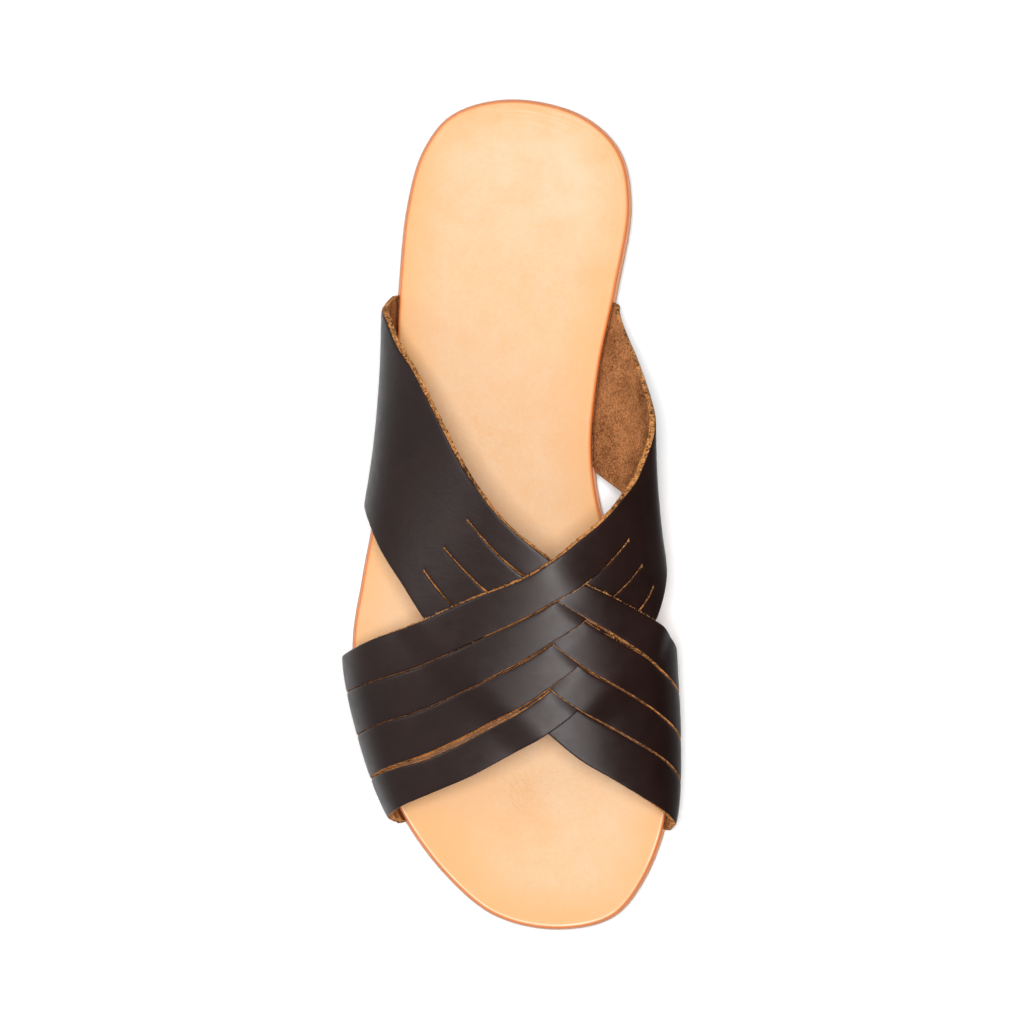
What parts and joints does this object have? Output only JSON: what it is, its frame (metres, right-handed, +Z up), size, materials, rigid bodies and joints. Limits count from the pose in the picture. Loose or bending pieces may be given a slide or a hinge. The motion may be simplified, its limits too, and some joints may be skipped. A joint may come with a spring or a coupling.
{
  "type": "woven leather slide sandal",
  "caption": "Flat open slide sandal for the right foot: two slit leather straps cross and interlace over the forefoot, on a leather insole and a low-heeled sole.",
  "frame": {"origin": "middle of the shoe's box, on the plane the heel and forefoot stand on", "axes": "+Z up; the heel is at +Y and the toes at -Y; +X is the inner side of the foot"},
  "size_m": [0.1058, 0.26, 0.0639],
  "materials": {
    "outsole": "natural leather, matt",
    "insole": "natural tanned leather, smooth and satin",
    "upper": "dark brown grain leather, satin; raw suede inside"
  },
  "bodies": {
    "root": {"outsole": "outsole", "insole": "insole", "upper": "upper"}
  },
  "joints": []
}
